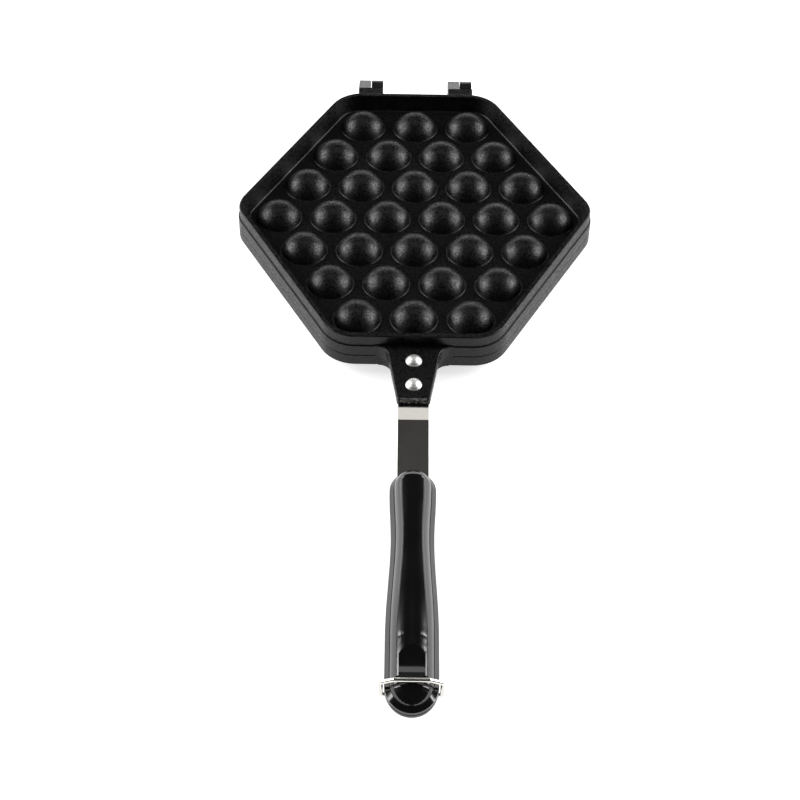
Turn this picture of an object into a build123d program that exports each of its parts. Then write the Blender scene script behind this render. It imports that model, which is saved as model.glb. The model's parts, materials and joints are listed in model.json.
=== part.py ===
from build123d import *
import math
import os

# An egg waffle pan: two hinged cast aluminium plates with thirty ball pockets, each on a
# riveted steel strap with a moulded grip, held shut by a wire bail over the grip ends.
#
# Each half is drawn about the middle of the seam between the plates: X runs across, Y
# towards the hinges and Z away from the seam, and the lower half is turned over about Y.
# The two castings differ in the raised rim, in the hinge blocks behind it and in the neck's
# width. The finished pan stands on Z = 0, with the origin under the middle of its length.
# Sizes are in millimetres.

# ---------------------------------------------------------------- driving dimensions
# Ball pockets
pocket_pitch = 28.0
row_counts = (3, 4, 5, 6, 5, 4, 3)
dome_radius = 12.5
pocket_wall = 2.2
dome_foot_radius = 0.8
pocket_lip_radius = 1.2

# Plate and flange, and the raised rim: near the edge above, set in below to stand on
plate_thickness = 4.4
rim_height = 12.7
flange_height = 6.4
flange_margin = 20.0
front_stretch = 1.1
upper_rim_inset = 0.6
upper_rim_land = 2.6
upper_rim_lean = 2.4
lower_rim_inset = 6.0
lower_rim_land = 2.4
lower_rim_lean = 0.6
end_corner_radius = 19.0
side_corner_radius = 15.5
rim_edge_radius = 0.8
rim_foot_radius = 1.0
flange_edge_radius = 0.4
seam_edge_radius = 0.5

# Hinges at the back
hinge_spacing = 48.7
knuckle_width = 6.3
knuckle_gap = 0.5
knuckle_radius = 6.2
hinge_setback = 16.25
hinge_block_depth = 4.5
hinge_block_drop = 0.6
hinge_pin_diameter = 4.0
pin_running_gap = 0.05
pin_seat_gap = 0.01

# Neck that carries the handle
neck_length = 35.35
neck_height = 7.0
neck_root_width = 26.6
neck_end_width = 15.4
lower_neck_inset = 2.0
neck_root_radius = 7.0
neck_corner_radius = 1.5
neck_edge_radius = 0.8

# Steel strap and its rivets
strap_width = 14.5
strap_thickness = 2.0
strap_lift = 1.3
strap_inner_reach = 4.5
strap_level_run = 0.4
strap_drop_run = 7.8
strap_drop = 1.2
strap_tang = 46.0
strap_bend_radius = 2.5
strap_corner_radius = 2.0
rivet_shank_diameter = 5.0
rivet_head_diameter = 7.9
rivet_head_height = 2.6
rivet_tail_diameter = 7.6
rivet_tail_depth = 1.5
rivet_margin = 9.75
rivet_spacing = 15.7
rivet_seat_gap = 0.02

# Moulded grip
strap_showing = 39.8
grip_length = 132.5
grip_parting_gap = 0.3
grip_height = 12.6
grip_edge_height = 1.4
grip_band_height = 3.6
grip_band_width = 2.1
grip_end_band = 3.6
grip_shoulder_half_width = 10.7
grip_waist_half_width = 9.8
grip_palm_half_width = 11.65
grip_waist_reach = 37.0
grip_palm_reach = 93.0
grip_end_round = 12.0
grip_tip_round = 14.5
grip_end_wall = 12.8
grip_body_sink = 0.6
grip_body_tuck = 0.15
round_steps = 9
flank_steps = 16
scoop_width = 11.3
scoop_reach = 27.5
scoop_run = 12.0
scoop_depth = 3.4
tang_side_gap = 0.1

# Screws that hold each grip on its tang
screw_diameter = 3.6
screw_head_diameter = 7.0
screw_head_depth = 1.6
screw_bite = 6.0
screw_slot_width = 0.9
screw_slot_depth = 0.7
screw_margin = 10.0
screw_spacing = 22.0
screw_seat_gap = 0.02

# Wire bail that latches the grips together
wire_diameter = 2.0
bail_pivot_from_tip = 15.5
bail_pivot_drop = 7.5
bail_bar_from_tip = 10.3
bail_bar_height = 11.0
bail_flat = 14.4
bail_side_gap = 0.45
bail_shoulder_drop = 3.6
bail_bend_radius = 1.6
bail_foot_x = 5.8
bail_foot_gap = 0.3
bail_running_gap = 0.08
bail_tip_gap = 0.3

# ---------------------------------------------------------------- places worked out
row_pitch = pocket_pitch * math.sqrt(3) / 2
last_row = len(row_counts) - 1
pocket_centres = []
for row, count in enumerate(row_counts):
    for column in range(count):
        across = (column - (count - 1) / 2) * pocket_pitch
        pocket_centres.append((across, (last_row / 2 - row) * row_pitch))
end_row_half = (row_counts[0] - 1) / 2 * pocket_pitch
middle_row_half = (max(row_counts) - 1) / 2 * pocket_pitch
end_row_y = last_row / 2 * row_pitch
field_corners = [
    (end_row_half, end_row_y),
    (middle_row_half, 0),
    (end_row_half, -end_row_y - front_stretch),
    (-end_row_half, -end_row_y - front_stretch),
    (-middle_row_half, 0),
    (-end_row_half, end_row_y),
]

back_edge = end_row_y + flange_margin
front_edge = -end_row_y - front_stretch - flange_margin

hinge_y = back_edge + hinge_setback
hinge_places = (-hinge_spacing / 2, hinge_spacing / 2)
hinge_width = 2 * knuckle_width + knuckle_gap

neck_end = front_edge - neck_length
neck_slant = math.degrees(math.atan2((neck_root_width - neck_end_width) / 2, neck_length))
neck_flare = neck_root_radius / math.tan(math.radians(90 + neck_slant) / 2)
neck_flared_width = neck_root_width + 2 * neck_flare

strap_underside = strap_lift
strap_topside = strap_underside + strap_thickness
tang_underside = strap_underside - strap_drop
tang_topside = tang_underside + strap_thickness
strap_start = front_edge - strap_inner_reach
drop_start = neck_end - strap_level_run
drop_end = drop_start - strap_drop_run
grip_start = neck_end - strap_showing
strap_end = grip_start - strap_tang
front_rivet_y = neck_end + rivet_margin
rivet_places = {"front": front_rivet_y, "rear": front_rivet_y + rivet_spacing}
front_screw_y = strap_end + screw_margin
screw_places = {"front": front_screw_y, "rear": front_screw_y + screw_spacing}

tip_y = grip_start - grip_length
end_wall_y = tip_y + grip_end_wall
crease_height = grip_parting_gap + grip_band_height
body_base = crease_height - grip_body_sink
body_rise = grip_height - body_base
scoop_floor = grip_height - scoop_depth
scoop_start = tip_y + scoop_reach

bail_pivot_y = tip_y + bail_pivot_from_tip
bail_back = bail_pivot_from_tip - bail_bar_from_tip
bail_up = bail_bar_height + bail_pivot_drop
bail_reach = math.hypot(bail_back, bail_up)
bail_leg_x = grip_palm_half_width + bail_side_gap + wire_diameter / 2
tip_dome_radius = bail_reach - wire_diameter / 2 - bail_tip_gap

# The origin lies under the middle of the length, from the hinge barrels to the grip tips
pan_middle_y = -(hinge_y + knuckle_radius + tip_y) / 2
seam_height = rim_height

os.makedirs("parts", exist_ok=True)


def keep(name, piece, turned=False):
    """Set a piece in place, turned over for the lower half, and write it."""
    with BuildPart() as placed:
        with Locations((0, pan_middle_y, seam_height)):
            add(piece, rotation=(0, 180 if turned else 0, 0))
    placed.part.label = name
    export_step(placed.part, f"parts/{name}.step")


# ---------------------------------------------------------------- fasteners
def rivet_form(gap=0.0):
    """The shank and flush countersunk tail of a rivet, or the hole for them."""
    with BuildPart() as form:
        with BuildSketch(Plane.XZ):
            with BuildLine():
                Polyline(
                    (0, strap_underside),
                    (rivet_tail_diameter / 2 + gap, strap_underside),
                    (rivet_shank_diameter / 2 + gap, strap_underside + rivet_tail_depth),
                    (rivet_shank_diameter / 2 + gap, neck_height),
                    (0, neck_height),
                    close=True,
                )
            make_face()
        revolve(axis=Axis.Z)
    return form.part


def screw_form(gap=0.0):
    """A countersunk screw driven into the grip through the tang, or the hole for it."""
    with BuildPart() as form:
        with BuildSketch(Plane.XZ):
            with BuildLine():
                Polyline(
                    (0, tang_underside),
                    (screw_head_diameter / 2 + gap, tang_underside),
                    (screw_diameter / 2 + gap, tang_underside + screw_head_depth),
                    (screw_diameter / 2 + gap, tang_topside + screw_bite + gap),
                    (0, tang_topside + screw_bite + gap),
                    close=True,
                )
            make_face()
        revolve(axis=Axis.Z)
    return form.part


rivet_hole = rivet_form(rivet_seat_gap)
screw_hole = screw_form(screw_seat_gap)

crown_radius = (rivet_head_diameter ** 2 / 4 + rivet_head_height ** 2) / (2 * rivet_head_height)
crown_centre = neck_height + rivet_head_height - crown_radius
crown_half_angle = math.degrees(math.asin(rivet_head_diameter / 2 / crown_radius))

with BuildPart() as rivet:
    add(rivet_form())
    with BuildSketch(Plane.XZ):
        with BuildLine():
            crown = CenterArc((0, crown_centre), crown_radius, 90, -crown_half_angle)
            Polyline(crown @ 1, (0, neck_height), crown @ 0)
        make_face()
    revolve(axis=Axis.Z)

with BuildPart() as screw:
    add(screw_form())
    with BuildSketch(Plane.XY.offset(tang_underside)):
        Rectangle(screw_head_diameter, screw_slot_width)
    extrude(amount=screw_slot_depth, mode=Mode.SUBTRACT)

for place, rivet_y in rivet_places.items():
    with BuildPart() as set_rivet:
        with Locations((0, rivet_y, 0)):
            add(rivet.part)
    keep(f"upper_rivet_{place}", set_rivet.part)
    keep(f"lower_rivet_{place}", set_rivet.part, turned=True)

for place, screw_y in screw_places.items():
    with BuildPart() as set_screw:
        with Locations((0, screw_y, 0)):
            add(screw.part)
    keep(f"upper_grip_screw_{place}", set_screw.part)
    keep(f"lower_grip_screw_{place}", set_screw.part, turned=True)


# ---------------------------------------------------------------- plate castings
def rim_outline(margin):
    """The rounded hexagon that runs a given distance outside the outer pocket centres."""
    inset = flange_margin - margin
    with BuildSketch() as outline:
        with BuildLine():
            Polyline(*field_corners, close=True)
        make_face()
        offset(amount=margin, kind=Kind.INTERSECTION)
        end_corners = outline.vertices().filter_by(lambda corner: abs(corner.Y) > row_pitch)
        fillet(end_corners, end_corner_radius - inset)
        side_corners = outline.vertices().filter_by(lambda corner: abs(corner.Y) < row_pitch)
        fillet(side_corners, side_corner_radius - inset)
    return outline.sketch


def bulb(radius, face_height, foot_radius):
    """A dome centred on the seam, with the round foot where it meets a flat face."""
    foot_out = math.sqrt((radius + foot_radius) ** 2 - (face_height + foot_radius) ** 2)
    foot_centre = (foot_out, face_height + foot_radius)
    meet = math.degrees(math.atan2(face_height + foot_radius, foot_out))
    base = face_height - foot_radius
    with BuildPart() as solid:
        with BuildSketch(Plane.XZ):
            with BuildLine():
                crown = CenterArc((0, 0), radius, 90, meet - 90)
                foot = CenterArc(foot_centre, foot_radius, meet + 180, 90 - meet)
                Polyline(foot @ 1, (foot_out, base), (0, base), crown @ 0)
            make_face()
        revolve(axis=Axis.Z)
    return solid.part


def flat_outline(outline, height, thickness, lean=0.0):
    """A slab of an outline that starts at a height, its sides leaning outwards."""
    with BuildPart() as slab:
        with BuildSketch(Plane.XY.offset(height)):
            add(outline)
        extrude(amount=thickness, taper=-lean)
    return slab


def neck_form(run_in, inset):
    """The neck, tapered to its end and flared into the flange, running in to the rim."""
    root_half = neck_root_width / 2 - inset
    end_half = neck_end_width / 2 - inset
    with BuildPart() as neck:
        with BuildSketch() as plan:
            with BuildLine():
                Polyline(
                    (-root_half, front_edge),
                    (-end_half, neck_end),
                    (end_half, neck_end),
                    (root_half, front_edge),
                    close=True,
                )
            make_face()
            with Locations((0, front_edge)):
                Rectangle(neck_flared_width - 2 * inset, run_in, align=(Align.CENTER, Align.MIN))
            at_edge = plan.vertices().filter_by_position(Axis.Y, front_edge - 1e-3, front_edge + 1e-3)
            fillet(at_edge.sort_by(lambda corner: abs(corner.X))[:2], neck_root_radius)
            fillet(plan.vertices().group_by(Axis.Y)[0], neck_corner_radius)
        extrude(amount=neck_height)
        top_edges = neck.edges().filter_by_position(Axis.Z, neck_height, neck_height)
        fillet(top_edges.filter_by(lambda edge: edge.center().Y < front_edge), neck_edge_radius)
    return neck.part


def knuckle_profile(block_height):
    """One knuckle seen from its end: the barrel, and the arm from it to its block."""
    with BuildSketch() as profile:
        with Locations((hinge_y, 0)):
            Circle(knuckle_radius)
        with Locations((back_edge, 0)):
            Rectangle(hinge_block_depth, block_height, align=Align.MIN)
        make_hull()
        with Locations((back_edge, 0)):
            Rectangle(hinge_setback * 2, rim_height, align=(Align.MIN, Align.MAX), mode=Mode.SUBTRACT)
        with Locations((hinge_y, 0)):
            Circle(knuckle_radius)
    return profile.sketch


flange = flat_outline(rim_outline(flange_margin), 0, flange_height)
dome = bulb(dome_radius, plate_thickness, dome_foot_radius)
pocket = bulb(dome_radius - pocket_wall, 0, pocket_lip_radius)


def plate_casting(rim_inset, rim_land, rim_lean, neck_inset, block_height, pin_gap):
    """A plate whose raised rim stands in from the flange's edge, with its bored knuckles."""
    rim_margin = flange_margin - rim_inset
    floor_margin = rim_margin - rim_land - rim_lean
    inner_lean = math.degrees(math.atan2(rim_lean, rim_height - plate_thickness))
    bead = flat_outline(rim_outline(rim_margin), flange_height, rim_height - flange_height)
    recess = flat_outline(
        rim_outline(floor_margin), plate_thickness, rim_height - plate_thickness, inner_lean
    )
    profile = knuckle_profile(block_height)
    with BuildPart() as plate:
        add(flange.part)
        fillet(plate.edges().group_by(Axis.Z)[-1], flange_edge_radius)
        fillet(plate.edges().group_by(Axis.Z)[0], seam_edge_radius)
        add(bead.part)
        fillet(plate.edges().group_by(Axis.Z)[-1], rim_edge_radius)
        add(neck_form(rim_inset + rim_land, neck_inset))
        # A block behind the rim for each pair of knuckles, and this half's own knuckle on it
        with BuildSketch():
            with Locations(*[(hinge_x, back_edge) for hinge_x in hinge_places]):
                Rectangle(hinge_width, 2 * hinge_block_depth)
        extrude(amount=block_height)
        for hinge_x in hinge_places:
            with BuildSketch(Plane.YZ.offset(hinge_x - hinge_width / 2)):
                add(profile)
            extrude(amount=knuckle_width)
        # The recess of the pan, with its leaning inner wall
        add(recess.part, mode=Mode.SUBTRACT)
        pan_floor = plate.faces().filter_by_position(Axis.Z, plate_thickness, plate_thickness)
        fillet(pan_floor.edges(), rim_foot_radius)
        # The thirty pockets: a dome outside, a ball cell inside
        with Locations(*pocket_centres):
            add(dome)
        with Locations(*pocket_centres):
            add(pocket, mode=Mode.SUBTRACT)
        # The seat of the strap under the neck, and its rivet holes
        with BuildSketch():
            with Locations((0, strap_start)):
                Rectangle(neck_flared_width, neck_length, align=(Align.CENTER, Align.MAX))
        extrude(amount=strap_topside, mode=Mode.SUBTRACT)
        with Locations(*[(0, rivet_y, 0) for rivet_y in rivet_places.values()]):
            add(rivet_hole, mode=Mode.SUBTRACT)
        with BuildSketch(Plane.YZ.offset(-hinge_spacing)):
            with Locations((hinge_y, 0)):
                Circle(hinge_pin_diameter / 2 + pin_gap)
        extrude(amount=2 * hinge_spacing, mode=Mode.SUBTRACT)
    return plate.part


upper_plate = plate_casting(
    rim_inset=upper_rim_inset,
    rim_land=upper_rim_land,
    rim_lean=upper_rim_lean,
    neck_inset=0,
    block_height=rim_height - hinge_block_drop,
    pin_gap=pin_running_gap,
)
keep("upper_plate", upper_plate)
lower_plate = plate_casting(
    rim_inset=lower_rim_inset,
    rim_land=lower_rim_land,
    rim_lean=lower_rim_lean,
    neck_inset=lower_neck_inset,
    block_height=flange_height,
    pin_gap=pin_seat_gap,
)
keep("lower_plate", lower_plate, turned=True)

for side, hinge_x in zip(("left", "right"), hinge_places):
    with BuildPart() as pin:
        with BuildSketch(Plane.YZ.offset(hinge_x - hinge_width / 2)):
            with Locations((hinge_y, 0)):
                Circle(hinge_pin_diameter / 2)
        extrude(amount=hinge_width)
    keep(f"hinge_pin_{side}", pin.part)

# ---------------------------------------------------------------- straps
with BuildPart() as strap:
    strap_middle = strap_underside + strap_thickness / 2
    with BuildLine(Plane.YZ) as strap_path:
        FilletPolyline(
            (strap_start, strap_middle),
            (drop_start, strap_middle),
            (drop_end, strap_middle - strap_drop),
            (strap_end, strap_middle - strap_drop),
            radius=strap_bend_radius,
        )
    with BuildSketch(Plane(origin=strap_path.line @ 0, x_dir=(1, 0, 0), z_dir=strap_path.line % 0)):
        Rectangle(strap_width, strap_thickness)
    sweep()
    end_edges = strap.edges().filter_by(Axis.Z).sort_by(Axis.Y)
    fillet(end_edges[:2] + end_edges[-2:], strap_corner_radius)
    with Locations(*[(0, rivet_y, 0) for rivet_y in rivet_places.values()]):
        add(rivet_hole, mode=Mode.SUBTRACT)
    with Locations(*[(0, screw_y, 0) for screw_y in screw_places.values()]):
        add(screw_hole, mode=Mode.SUBTRACT)
keep("upper_strap", strap.part)
keep("lower_strap", strap.part, turned=True)

# ---------------------------------------------------------------- grips
shoulder_y = grip_start - grip_end_round
waist_y = grip_start - grip_waist_reach
palm_y = grip_start - grip_palm_reach
tip_round_y = tip_y + grip_tip_round

# The outline of the parting face, one side of it drawn and mirrored
with BuildLine() as grip_edge:
    EllipticalCenterArc((0, shoulder_y), grip_shoulder_half_width, grip_end_round, 0, arc_size=90)
    flank = Spline(
        (grip_shoulder_half_width, shoulder_y),
        (grip_waist_half_width, waist_y),
        (grip_palm_half_width, palm_y),
        tangents=((0, -1), (0, -1)),
    )
    Line((grip_palm_half_width, palm_y), (grip_palm_half_width, tip_round_y))
    EllipticalCenterArc((0, tip_round_y), grip_palm_half_width, grip_tip_round, -90, arc_size=90)
    mirror(about=Plane.YZ)


def half_round(y, half_width, rise):
    """A half-elliptical section of the grip's body, square to its length."""
    section_plane = Plane(origin=(0, y, body_base), x_dir=(1, 0, 0), z_dir=(0, -1, 0))
    with BuildSketch(section_plane) as section:
        with BuildLine():
            arch = EllipticalCenterArc((0, 0), half_width, rise, 0, arc_size=180)
            Line(arch @ 1, arch @ 0)
        make_face()
    return section.sketch


# The body rounds up from the hinge end, follows the flanks and stops at a wall, and the
# tip beyond the wall is domed about the pivot of the bail, so that the bail swings clear.
body_sections = []
for step in range(1, round_steps):
    turn = math.pi / 2 * step / round_steps
    body_sections.append(half_round(
        shoulder_y + (grip_end_round - grip_end_band) * math.cos(turn),
        (grip_shoulder_half_width - grip_band_width) * math.sin(turn),
        body_rise * math.sin(turn),
    ))
for step in range(flank_steps + 1):
    point = flank @ (step / flank_steps)
    body_sections.append(half_round(point.Y, point.X - grip_band_width, body_rise))
palm_body_half = grip_palm_half_width - grip_band_width
body_sections.append(half_round(end_wall_y, palm_body_half, body_rise))

tip_sections = []
tip_body_round = grip_tip_round - grip_band_width
wall_turn = math.asin((tip_round_y - end_wall_y) / tip_body_round)
for step in range(round_steps):
    turn = wall_turn + (math.pi / 2 - wall_turn) * step / round_steps
    y = tip_round_y - tip_body_round * math.sin(turn)
    dome_top = math.sqrt(tip_dome_radius ** 2 - (bail_pivot_y - y) ** 2) - bail_pivot_drop
    tip_sections.append(half_round(y, palm_body_half * math.cos(turn), dome_top - body_base))

with BuildPart() as grip:
    with BuildSketch(Plane.XY.offset(grip_parting_gap)):
        with BuildLine():
            add(grip_edge.line)
        make_face()
    extrude(amount=grip_band_height)
    rim_loop = grip.edges().group_by(Axis.Z)[-1]
    chamfer(rim_loop, grip_band_height - grip_edge_height, grip_band_width - grip_body_tuck)
    loft(sections=body_sections, ruled=True)
    loft(sections=tip_sections, ruled=True)
    # The thumb scoop in front of the bail
    with BuildSketch(Plane.YZ.offset(-scoop_width / 2)):
        with BuildLine():
            ramp = TangentArc(
                (scoop_start - scoop_run, scoop_floor), (scoop_start, grip_height), tangent=(1, 0)
            )
            Polyline(
                ramp @ 1,
                (scoop_start, grip_height + scoop_depth),
                (tip_y, grip_height + scoop_depth),
                (tip_y, scoop_floor),
                ramp @ 0,
            )
        make_face()
    extrude(amount=scoop_width, mode=Mode.SUBTRACT)
    # The channel that the tang lies in, open at the parting face, and the screw holes
    with BuildSketch(Plane.XY.offset(grip_parting_gap)):
        with Locations((0, strap_end - tang_side_gap)):
            Rectangle(
                strap_width + 2 * tang_side_gap,
                strap_tang + strap_showing,
                align=(Align.CENTER, Align.MIN),
            )
    extrude(amount=tang_topside - grip_parting_gap, mode=Mode.SUBTRACT)
    with Locations(*[(0, screw_y, 0) for screw_y in screw_places.values()]):
        add(screw_hole, mode=Mode.SUBTRACT)
keep("upper_grip", grip.part)

with BuildPart() as bored_grip:
    add(grip.part)
    for side in (-1, 1):
        foot_end = Plane(
            origin=(side * (bail_foot_x - bail_foot_gap), bail_pivot_y, bail_pivot_drop),
            x_dir=(0, 1, 0),
            z_dir=(side, 0, 0),
        )
        with BuildSketch(foot_end):
            Circle(wire_diameter / 2 + bail_running_gap)
        extrude(amount=bail_leg_x, mode=Mode.SUBTRACT)
keep("lower_grip", bored_grip.part, turned=True)

# ---------------------------------------------------------------- wire bail
bail_plane = Plane(
    origin=(0, bail_pivot_y, -bail_pivot_drop),
    x_dir=(1, 0, 0),
    z_dir=(0, -bail_up / bail_reach, -bail_back / bail_reach),
)
with BuildPart() as bail:
    with BuildLine(bail_plane) as bail_path:
        FilletPolyline(
            (-bail_foot_x, 0),
            (-bail_leg_x, 0),
            (-bail_leg_x, bail_reach - bail_shoulder_drop),
            (-bail_flat / 2, bail_reach),
            (bail_flat / 2, bail_reach),
            (bail_leg_x, bail_reach - bail_shoulder_drop),
            (bail_leg_x, 0),
            (bail_foot_x, 0),
            radius=bail_bend_radius,
        )
    with BuildSketch(Plane(origin=bail_path.line @ 0, z_dir=bail_path.line % 0)):
        Circle(wire_diameter / 2)
    sweep()
keep("latch_bail", bail.part)

print(f"length {hinge_y + knuckle_radius - tip_y:.1f} mm, pan middle at y {pan_middle_y:.3f}")
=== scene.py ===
# %% [markdown]
# # An egg waffle pan
#
# The pan is two cast aluminium plates with a black non-stick coat, hinged at the back. Each
# plate has a steel strap riveted under its neck and a glossy moulded grip on the strap, and
# a bright wire bail holds the two grips together. All of these are hard pieces with exact
# fits, so their shapes come from the CAD frame, and this lesson is about what the frame
# can't hold: how each surface was made and what that does to light.

import json
import math

import bpy
from mathutils import Matrix, Vector


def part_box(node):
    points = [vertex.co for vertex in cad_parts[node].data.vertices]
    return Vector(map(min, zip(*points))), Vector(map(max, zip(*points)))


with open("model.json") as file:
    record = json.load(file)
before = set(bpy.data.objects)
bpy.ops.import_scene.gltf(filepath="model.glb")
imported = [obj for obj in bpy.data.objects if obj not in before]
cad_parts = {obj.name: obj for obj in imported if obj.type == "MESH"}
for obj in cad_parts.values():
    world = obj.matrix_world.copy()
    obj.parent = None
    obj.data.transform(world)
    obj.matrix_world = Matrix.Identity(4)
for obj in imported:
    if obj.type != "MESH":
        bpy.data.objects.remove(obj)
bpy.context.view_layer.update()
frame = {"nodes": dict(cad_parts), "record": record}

# %% [markdown]
# ## Three small helpers
#
# Colours are written as hex values, the way that a paint chart gives them, and Blender works
# in linear light, so one function turns them. Every material below is a chain of nodes on
# the object's own coordinates. These are in metres and don't stretch, so a pattern's scale
# is simply one over its real size. A noise node gives values round 0.5 that seldom leave
# 0.3 to 0.7, so this stretch is what the materials spread over their range of gloss.

# %% Helpers for colours and nodes
MM = 0.001
NOISE_LOW, NOISE_HIGH = 0.3, 0.7


def linear(hex_colour):
    """An sRGB hex value as a linear RGBA colour."""
    channels = [int(hex_colour[i:i + 2], 16) / 255 for i in (1, 3, 5)]
    return [c / 12.92 if c <= 0.04045 else ((c + 0.055) / 1.055) ** 2.4 for c in channels] + [1.0]


def add_node(tree, kind, settings=(), **links):
    """Adds a node with its settings; each link names an input and gives a value or a socket.

    An input is named in words, such as From_Min, or by its number, such as _6.
    """
    made = tree.nodes.new(kind)
    for name, value in dict(settings).items():
        setattr(made, name, value)
    for name, value in links.items():
        socket = made.inputs[int(name[1:]) if name[1:].isdigit() else name.replace("_", " ")]
        if isinstance(value, bpy.types.NodeSocket):
            tree.links.new(value, socket)
        else:
            socket.default_value = value
    return made


def new_material(name):
    """An empty node material, with its tree and its coordinates in metres."""
    material = bpy.data.materials.new(name)
    material.use_nodes = True
    material.node_tree.nodes.clear()
    place = add_node(material.node_tree, "ShaderNodeTexCoord").outputs["Object"]
    return material, material.node_tree, place


print("black of the coat in linear light", linear("#020203"))

# %% [markdown]
# ## Sand-cast aluminium with a black non-stick coat
#
# The plates are cast, tumbled and sprayed with a thin black fluoropolymer coat that is baked
# on. Such a coat bends light less than most paints do, with an IOR of about 1.36, so it
# mirrors weakly and looks deep black. Its gloss could be one even value, but the real coat
# breaks each highlight into speckles, because the grain of the casting and of the spray show
# in it. So one noise with blobs about a millimetre wide drives the bump, the colour and the
# gloss together: a raised grain is a little greyer and duller than a hollow.

# %% Sprayed coat
GRAIN_SIZE, GRAIN_DEPTH = 1.0 * MM, 0.10 * MM
GRAIN_LOW, GRAIN_HIGH = 0.35, 0.65
COAT_GLOSSY, COAT_DULL = 0.26, 0.52

coated, tree, place = new_material("cast_aluminium_with_sprayed_coat")
grain = add_node(tree, "ShaderNodeTexNoise", Vector=place, Scale=1 / GRAIN_SIZE, Detail=2.0)
bump = add_node(
    tree, "ShaderNodeBump", Strength=1.0, Distance=GRAIN_DEPTH, Height=grain.outputs["Fac"]
)
coat_colour = add_node(
    tree, "ShaderNodeMix", {"data_type": "RGBA"},
    _0=grain.outputs["Fac"], _6=linear("#020203"), _7=linear("#060607"),
)
gloss = add_node(
    tree, "ShaderNodeMapRange", Value=grain.outputs["Fac"],
    From_Min=GRAIN_LOW, From_Max=GRAIN_HIGH, To_Min=COAT_GLOSSY, To_Max=COAT_DULL,
)
print("coat grain", GRAIN_SIZE / MM, "mm wide and", GRAIN_DEPTH / MM, "mm deep")

# %% [markdown]
# ## The torn end of the neck
#
# At the end of the neck, where the pouring gate was cut off after coating, bare grey metal
# shows in a narrow strip with a ragged edge. It is too thin to model, so the coat's own
# material shows bare metal where three tests agree: near the end, near the top and near the
# middle of the neck. A noise added to the place makes the edge ragged.

# %% Bare metal where the gate was
TEAR_SIZE, TEAR_RAGGED = 1.4 * MM, 0.5 * MM
TEAR_DEPTH, TEAR_HEIGHT, TEAR_HALF_WIDTH = 0.9 * MM, 2.4 * MM, 6.3 * MM
RIVET_HEAD_HEIGHT = 2.6 * MM

neck_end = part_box("upper_plate")[0].y
neck_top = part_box("upper_rivet_front")[1].z - RIVET_HEAD_HEIGHT

apart = add_node(tree, "ShaderNodeSeparateXYZ", Vector=place)
torn_noise = add_node(tree, "ShaderNodeTexNoise", Vector=place, Scale=1 / TEAR_SIZE, Detail=4.0)
ragged = add_node(
    tree, "ShaderNodeMapRange", Value=torn_noise.outputs["Fac"],
    From_Min=NOISE_LOW, From_Max=NOISE_HIGH, To_Min=-TEAR_RAGGED, To_Max=TEAR_RAGGED,
)
from_end = add_node(
    tree, "ShaderNodeMath", {"operation": "ADD"},
    _0=apart.outputs["Y"], _1=ragged.outputs["Result"],
)
from_top = add_node(
    tree, "ShaderNodeMath", {"operation": "ADD"},
    _0=apart.outputs["Z"], _1=ragged.outputs["Result"],
)
aside = add_node(tree, "ShaderNodeMath", {"operation": "ABSOLUTE"}, _0=apart.outputs["X"])
near_end = add_node(
    tree, "ShaderNodeMath", {"operation": "LESS_THAN"},
    _0=from_end.outputs[0], _1=neck_end + TEAR_DEPTH,
)
near_top = add_node(
    tree, "ShaderNodeMath", {"operation": "GREATER_THAN"},
    _0=from_top.outputs[0], _1=neck_top - TEAR_HEIGHT,
)
near_middle = add_node(
    tree, "ShaderNodeMath", {"operation": "LESS_THAN"},
    _0=aside.outputs[0], _1=TEAR_HALF_WIDTH,
)
in_corner = add_node(
    tree, "ShaderNodeMath", {"operation": "MULTIPLY"},
    _0=near_end.outputs[0], _1=near_top.outputs[0],
)
torn = add_node(
    tree, "ShaderNodeMath", {"operation": "MULTIPLY"},
    _0=in_corner.outputs[0], _1=near_middle.outputs[0],
)
crumbs = add_node(
    tree, "ShaderNodeMapRange", Value=torn_noise.outputs["Fac"],
    From_Min=GRAIN_LOW, From_Max=GRAIN_HIGH,
)
bare_metal = add_node(
    tree, "ShaderNodeMix", {"data_type": "RGBA"},
    _0=crumbs.outputs["Result"], _6=linear("#4c4b4a"), _7=linear("#c4c3c0"),
)
surface_colour = add_node(
    tree, "ShaderNodeMix", {"data_type": "RGBA"},
    _0=torn.outputs[0], _6=coat_colour.outputs[2], _7=bare_metal.outputs[2],
)
shader = add_node(
    tree, "ShaderNodeBsdfPrincipled", Base_Color=surface_colour.outputs[2],
    Metallic=torn.outputs[0], Roughness=gloss.outputs["Result"], IOR=1.36,
    Normal=bump.outputs["Normal"],
)
add_node(tree, "ShaderNodeOutputMaterial", Surface=shader.outputs["BSDF"])
print("neck end at y", round(neck_end, 4), "top at z", round(neck_top, 4))

# %% [markdown]
# ## Moulded phenolic grips
#
# The grips are black phenolic resin, pressed in a polished steel mould, which gives a deep
# gloss with a very slight ripple a few millimetres long. The gloss shows as long, sharp
# reflections down the sides. Handling adds faint patches that are a little less glossy, and
# a patch is about as wide as a fingertip.

# %% Grip moulding
RIPPLE_SIZE, RIPPLE_DEPTH = 6 * MM, 0.03 * MM
HANDLED_PATCH = 14 * MM
RESIN_POLISHED, RESIN_HANDLED = 0.08, 0.12

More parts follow.
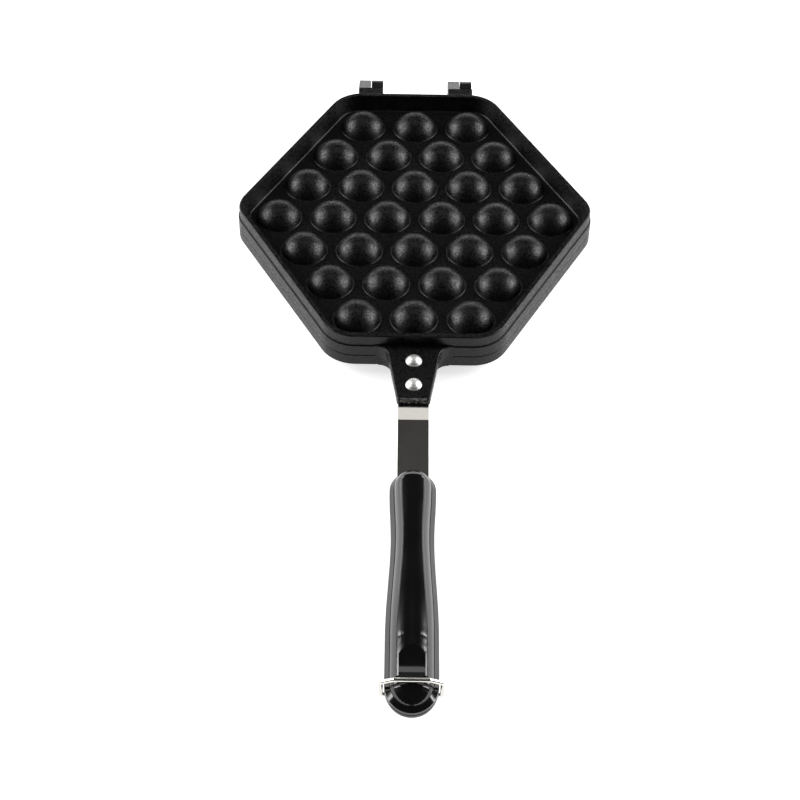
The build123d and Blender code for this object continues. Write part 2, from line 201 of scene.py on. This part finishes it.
moulded, tree, place = new_material("phenolic_resin_moulded_gloss")
ripple = add_node(tree, "ShaderNodeTexNoise", Vector=place, Scale=1 / RIPPLE_SIZE, Detail=1.0)
bump = add_node(
    tree, "ShaderNodeBump", Strength=0.15, Distance=RIPPLE_DEPTH, Height=ripple.outputs["Fac"]
)
handled = add_node(tree, "ShaderNodeTexNoise", Vector=place, Scale=1 / HANDLED_PATCH, Detail=3.0)
resin = add_node(
    tree, "ShaderNodeMix", {"data_type": "RGBA"},
    _0=handled.outputs["Fac"], _6=linear("#060607"), _7=linear("#0a0a0b"),
)
gloss = add_node(
    tree, "ShaderNodeMapRange", Value=handled.outputs["Fac"],
    From_Min=NOISE_LOW, From_Max=NOISE_HIGH, To_Min=RESIN_POLISHED, To_Max=RESIN_HANDLED,
)
shader = add_node(
    tree, "ShaderNodeBsdfPrincipled", Base_Color=resin.outputs[2], Metallic=0.0,
    Roughness=gloss.outputs["Result"], IOR=1.6, Normal=bump.outputs["Normal"],
)
add_node(tree, "ShaderNodeOutputMaterial", Surface=shader.outputs["BSDF"])

# %% [markdown]
# ## Rolled strap steel
#
# The straps are cut from rolled stainless strip. Rolling and a light brushing leave fine
# lines along the strip, which blur its reflections across its width. The lines are drawn by
# stretching a noise along the strap. Real ones are a few hundredths of a millimetre wide,
# which is too fine to show, so they are drawn 0.4 mm wide and faint.

# %% Strap steel
LINE_WIDTH, LINE_LENGTH = 0.4 * MM, 30 * MM
STRIP_BRIGHT, STRIP_BRUSHED = 0.18, 0.21

strap_steel, tree, place = new_material("stainless_strip_rolled_brushed")
stretch = add_node(
    tree, "ShaderNodeMapping", {"vector_type": "POINT"},
    Vector=place, Scale=(1 / LINE_WIDTH, 1 / LINE_LENGTH, 1 / LINE_WIDTH),
)
lines = add_node(
    tree, "ShaderNodeTexNoise", Vector=stretch.outputs["Vector"], Scale=1.0, Detail=2.0
)
rolled = add_node(
    tree, "ShaderNodeMix", {"data_type": "RGBA"},
    _0=lines.outputs["Fac"], _6=linear("#bdbab4"), _7=linear("#c9c6c0"),
)
gloss = add_node(
    tree, "ShaderNodeMapRange", Value=lines.outputs["Fac"],
    From_Min=NOISE_LOW, From_Max=NOISE_HIGH, To_Min=STRIP_BRIGHT, To_Max=STRIP_BRUSHED,
)
shader = add_node(
    tree, "ShaderNodeBsdfPrincipled", Base_Color=rolled.outputs[2], Metallic=1.0,
    Roughness=gloss.outputs["Result"],
)
add_node(tree, "ShaderNodeOutputMaterial", Surface=shader.outputs["BSDF"])

# %% [markdown]
# ## Polished aluminium rivets
#
# The rivet heads were set by a spinning punch, so they are bright and satin, with faint
# rings round the middle. Real rings are about 0.2 mm apart, too fine to show, so they are
# drawn 1.1 mm apart. Generated coordinates run from 0 to 1 across a head, which puts the
# middle of the rings on the middle of each rivet. A wave node packs 20 radians of its wave
# into one unit of length, and the scale makes up for that.

# %% Rivet aluminium
RING_STEP = 1.1 * MM
WAVE_RADIANS = 20.0
RIVET_RING, RIVET_SATIN = 0.44, 0.52

rivet_low, rivet_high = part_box("upper_rivet_front")
head_width = rivet_high.x - rivet_low.x
rivet_metal, tree, place = new_material("aluminium_spun_rivet")
across = add_node(tree, "ShaderNodeTexCoord").outputs["Generated"]
centred = add_node(
    tree, "ShaderNodeMapping", {"vector_type": "POINT"}, Vector=across, Location=(-0.5, -0.5, 0),
)
rings = add_node(
    tree, "ShaderNodeTexWave", {"wave_type": "RINGS", "rings_direction": "Z"},
    Vector=centred.outputs["Vector"], Scale=2 * math.pi * head_width / (WAVE_RADIANS * RING_STEP),
)
rivet_colour = add_node(
    tree, "ShaderNodeMix", {"data_type": "RGBA"},
    _0=rings.outputs["Fac"], _6=linear("#e4e4e2"), _7=linear("#f6f6f4"),
)
gloss = add_node(
    tree, "ShaderNodeMapRange", Value=rings.outputs["Fac"], To_Min=RIVET_RING, To_Max=RIVET_SATIN,
)
shader = add_node(
    tree, "ShaderNodeBsdfPrincipled", Base_Color=rivet_colour.outputs[2], Metallic=1.0,
    Roughness=gloss.outputs["Result"],
)
add_node(tree, "ShaderNodeOutputMaterial", Surface=shader.outputs["BSDF"])

# %% [markdown]
# ## Bright-drawn wire
#
# The bail is stainless wire, drawn through a die and bent cold. Drawing leaves it almost
# mirror-bright, with slight changes in gloss every few millimetres where the tools held it.

# %% Bail wire
TOOL_MARK = 3 * MM
WIRE_DRAWN, WIRE_MARKED = 0.14, 0.22

wire, tree, place = new_material("stainless_wire_bright_drawn")
tool_marks = add_node(tree, "ShaderNodeTexNoise", Vector=place, Scale=1 / TOOL_MARK, Detail=2.0)
wire_colour = add_node(
    tree, "ShaderNodeMix", {"data_type": "RGBA"},
    _0=tool_marks.outputs["Fac"], _6=linear("#d2d0ca"), _7=linear("#e6e4de"),
)
gloss = add_node(
    tree, "ShaderNodeMapRange", Value=tool_marks.outputs["Fac"],
    From_Min=NOISE_LOW, From_Max=NOISE_HIGH, To_Min=WIRE_DRAWN, To_Max=WIRE_MARKED,
)
shader = add_node(
    tree, "ShaderNodeBsdfPrincipled", Base_Color=wire_colour.outputs[2], Metallic=1.0,
    Roughness=gloss.outputs["Result"],
)
add_node(tree, "ShaderNodeOutputMaterial", Surface=shader.outputs["BSDF"])

# %% [markdown]
# ## Turned hinge pins
#
# Only the ends of the hinge pins show. They are plain steel, and a lathe leaves fine marks
# about 0.2 mm apart on them, which dull the metal in spots.

# %% Pin steel
TURNING_STEP = 0.2 * MM
PIN_BRIGHT, PIN_DULL = 0.28, 0.42

pin_steel, tree, place = new_material("steel_pin_turned")
turning = add_node(tree, "ShaderNodeTexNoise", Vector=place, Scale=1 / TURNING_STEP, Detail=2.0)
pin_colour = add_node(
    tree, "ShaderNodeMix", {"data_type": "RGBA"},
    _0=turning.outputs["Fac"], _6=linear("#8e8c88"), _7=linear("#b4b2ae"),
)
gloss = add_node(
    tree, "ShaderNodeMapRange", Value=turning.outputs["Fac"],
    From_Min=NOISE_LOW, From_Max=NOISE_HIGH, To_Min=PIN_BRIGHT, To_Max=PIN_DULL,
)
shader = add_node(
    tree, "ShaderNodeBsdfPrincipled", Base_Color=pin_colour.outputs[2], Metallic=1.0,
    Roughness=gloss.outputs["Result"],
)
add_node(tree, "ShaderNodeOutputMaterial", Surface=shader.outputs["BSDF"])

# %% [markdown]
# ## Zinc-plated grip screws
#
# The grip screws are hidden inside the closed grips. They are steel with a zinc plating, and
# zinc grows in crystals about half a millimetre across. Cells of a Voronoi pattern stand
# for the crystals, each a little darker and duller towards its edge.

# %% Screw steel
CRYSTAL_SIZE = 0.5 * MM
PLATING_BRIGHT, PLATING_DULL = 0.22, 0.34

screw_steel, tree, place = new_material("steel_screw_zinc_plated")
crystals = add_node(tree, "ShaderNodeTexVoronoi", Vector=place, Scale=1 / CRYSTAL_SIZE)
screw_colour = add_node(
    tree, "ShaderNodeMix", {"data_type": "RGBA"},
    _0=crystals.outputs["Distance"], _6=linear("#bfc2c6"), _7=linear("#9fa3a8"),
)
gloss = add_node(
    tree, "ShaderNodeMapRange", Value=crystals.outputs["Distance"],
    To_Min=PLATING_BRIGHT, To_Max=PLATING_DULL,
)
shader = add_node(
    tree, "ShaderNodeBsdfPrincipled", Base_Color=screw_colour.outputs[2], Metallic=1.0,
    Roughness=gloss.outputs["Result"],
)
add_node(tree, "ShaderNodeOutputMaterial", Surface=shader.outputs["BSDF"])

# %% [markdown]
# ## Put each finish on its pieces
#
# The record says which finish each CAD node has, so the nodes are dressed by that slot and
# none can be missed.

# %% Dress the nodes
finishes = {
    "coated_aluminium": coated,
    "moulded_grip": moulded,
    "strap_steel": strap_steel,
    "rivet_aluminium": rivet_metal,
    "bail_wire": wire,
    "pin_steel": pin_steel,
    "screw_steel": screw_steel,
}
for part in frame["record"]["subparts"]:
    dressed = frame["nodes"][part["node"]]
    if not dressed.material_slots:
        dressed.data.materials.append(None)
    for material_slot in dressed.material_slots:
        material_slot.material = finishes[part["material_slot"]]

# %% [markdown]
# ## Floor and backdrop
#
# The pan lies on a white sweep: a floor that curves up into a low wall behind it. A glossy
# black object is drawn by what it reflects, so the sweep matters as much as the lights: the
# side strips of the grip mirror it, and they end where its top edge ends. It is built as one
# strip of faces along a profile, which is the least that gives an even bend.

# %% White sweep
SWEEP_HALF_WIDTH = 2.4
SWEEP_FRONT, SWEEP_BACK = -2.4, 1.7
SWEEP_RADIUS, SWEEP_TOP = 0.5, 0.62
SWEEP_STEPS = 12

profile = [(SWEEP_FRONT, 0.0)]
for step in range(SWEEP_STEPS + 1):
    turn = math.pi / 2 * step / SWEEP_STEPS
    profile.append((
        SWEEP_BACK - SWEEP_RADIUS + SWEEP_RADIUS * math.sin(turn),
        SWEEP_RADIUS - SWEEP_RADIUS * math.cos(turn),
    ))
profile.append((SWEEP_BACK, SWEEP_TOP))
points = [(side * SWEEP_HALF_WIDTH, y, z) for y, z in profile for side in (-1, 1)]
strips = [(2 * i, 2 * i + 1, 2 * i + 3, 2 * i + 2) for i in range(len(profile) - 1)]
sweep_mesh = bpy.data.meshes.new("white_sweep")
sweep_mesh.from_pydata(points, [], strips)
for strip in sweep_mesh.polygons:
    strip.use_smooth = True
sweep = bpy.data.objects.new("white_sweep", sweep_mesh)
bpy.context.scene.collection.objects.link(sweep)
print("sweep of", len(strips), "strips,", SWEEP_TOP, "m high")

# %% [markdown]
# ## Matt white paper
#
# The sweep is paper with a faint mottle of fibres and no gloss. It glows a little, as a light
# table does, so that it stays white all round the pan and its shadows stay pale.

# %% Paper
FIBRE_SIZE, SELF_LIGHT = 2 * MM, 0.7
PAPER_ROUGHNESS = 0.95

paper, tree, place = new_material("matt_white_paper")
fibres = add_node(tree, "ShaderNodeTexNoise", Vector=place, Scale=1 / FIBRE_SIZE, Detail=3.0)
paper_colour = add_node(
    tree, "ShaderNodeMix", {"data_type": "RGBA"},
    _0=fibres.outputs["Fac"], _6=linear("#e0e0e0"), _7=linear("#e8e8e8"),
)
shader = add_node(
    tree, "ShaderNodeBsdfPrincipled", Base_Color=paper_colour.outputs[2], Roughness=PAPER_ROUGHNESS,
    Specular_IOR_Level=0.0, Emission_Color=(1, 1, 1, 1), Emission_Strength=SELF_LIGHT,
)
add_node(tree, "ShaderNodeOutputMaterial", Surface=shader.outputs["BSDF"])
sweep_mesh.materials.append(paper)

# %% [markdown]
# ## Softboxes
#
# Two large softboxes stand left and right of the pan, low and a little behind it. They draw
# the two soft highlights on every dome, whose places gave their height and direction. They
# stand far off, so that the grips, which lie nearer to the camera than the domes, mirror the
# sweep and not the softboxes.

# %% Two softboxes
LAMP_DISTANCE, LAMP_SIZE, LAMP_POWER = 2.4, 1.7, 80.0
LAMP_HEIGHT, LAMP_BEHIND = math.radians(27), math.radians(12)


def hang_light(name, target, towards, distance, size, power):
    """Hangs an area light of the given width and height at a distance, facing its target."""
    light_data = bpy.data.lights.new(name, "AREA")
    light_data.shape = "RECTANGLE"
    light_data.size, light_data.size_y = size
    light_data.energy = power
    light = bpy.data.objects.new(name, light_data)
    light.location = target + towards * distance
    light.rotation_euler = towards.to_track_quat("Z", "Y").to_euler()
    bpy.context.scene.collection.objects.link(light)
    print(name, "hangs at", [round(value, 2) for value in light.location])


plate_low, plate_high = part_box("upper_plate")
for name, side in (("left", -1), ("right", 1)):
    towards = Vector((
        side * math.cos(LAMP_HEIGHT) * math.cos(LAMP_BEHIND),
        math.cos(LAMP_HEIGHT) * math.sin(LAMP_BEHIND),
        math.sin(LAMP_HEIGHT),
    ))
    hang_light(
        f"softbox_{name}", (plate_low + plate_high) / 2, towards, LAMP_DISTANCE,
        (LAMP_SIZE, LAMP_SIZE), LAMP_POWER,
    )

# %% [markdown]
# ## Reflector card
#
# The strap slopes down where it leaves the neck, and there it shines almost white, while the
# level strap beside it is dark. A tilted mirror looks at another part of the room, so a card
# hangs where the slope mirrors it and the level strap doesn't: behind the pan, 67 degrees up.

# %% Card over the strap
CARD_HEIGHT, CARD_DISTANCE, CARD_POWER = math.radians(67), 1.5, 0.9
CARD_SIZE = 0.6, 0.3

strap_low, strap_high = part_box("upper_strap")
towards = Vector((0, math.cos(CARD_HEIGHT), math.sin(CARD_HEIGHT)))
hang_light(
    "reflector_card", (strap_low + strap_high) / 2, towards, CARD_DISTANCE, CARD_SIZE, CARD_POWER
)

# %% [markdown]
# ## A dark room
#
# Everything level mirrors the room above the backdrop. It is nearly black, which keeps the
# plate between the domes and the top of the grip deep black.

# %% Room
ROOM_GREY = 0.05

world = bpy.data.worlds.new("dark_studio")
world.use_nodes = True
world.node_tree.nodes["Background"].inputs["Color"].default_value = [ROOM_GREY] * 3 + [1.0]
bpy.context.scene.world = world
bpy.context.scene.view_settings.view_transform = "Standard"
print("room grey", ROOM_GREY)

# %% [markdown]
# ## Camera
#
# A pinhole camera was fitted to the centres of the thirty domes, which lie on a known
# hexagonal grid. It looks down at about 47 degrees, straight along the handle, with a long
# lens, and is turned one degree about its own axis. Its turn is built from three directions,
# forward, right and up, which is easier to check than a set of Euler angles.

# %% Camera at the photograph's view
CAMERA_PLACE = Vector((-8.97, -679.1, 717.76)) * MM
LOOK_DOWN, LOOK_ASIDE, ROLL = (math.radians(angle) for angle in (47.36, 0.23, -1.02))
FOCAL_PIXELS, FRAME_PIXELS, SENSOR_WIDTH = 2012.49, 800, 36.0
FARTHEST_SEEN = 20

forward = Vector((
    math.sin(LOOK_ASIDE) * math.cos(LOOK_DOWN),
    math.cos(LOOK_ASIDE) * math.cos(LOOK_DOWN),
    -math.sin(LOOK_DOWN),
))
right = Vector((math.cos(LOOK_ASIDE), -math.sin(LOOK_ASIDE), 0))
up = right.cross(forward)
unrolled = Matrix((right, up, -forward))
camera_turn = (Matrix.Rotation(ROLL, 3, "Z") @ unrolled).transposed()

camera_data = bpy.data.cameras.new("photo_camera")
camera_data.sensor_width = SENSOR_WIDTH
camera_data.lens = FOCAL_PIXELS * SENSOR_WIDTH / FRAME_PIXELS
camera_data.clip_end = FARTHEST_SEEN
camera = bpy.data.objects.new("photo_camera", camera_data)
camera.matrix_world = Matrix.Translation(CAMERA_PLACE) @ camera_turn.to_4x4()
bpy.context.scene.collection.objects.link(camera)
bpy.context.scene.camera = camera
print("camera at", [round(value, 3) for value in CAMERA_PLACE], "lens", round(camera_data.lens, 2))
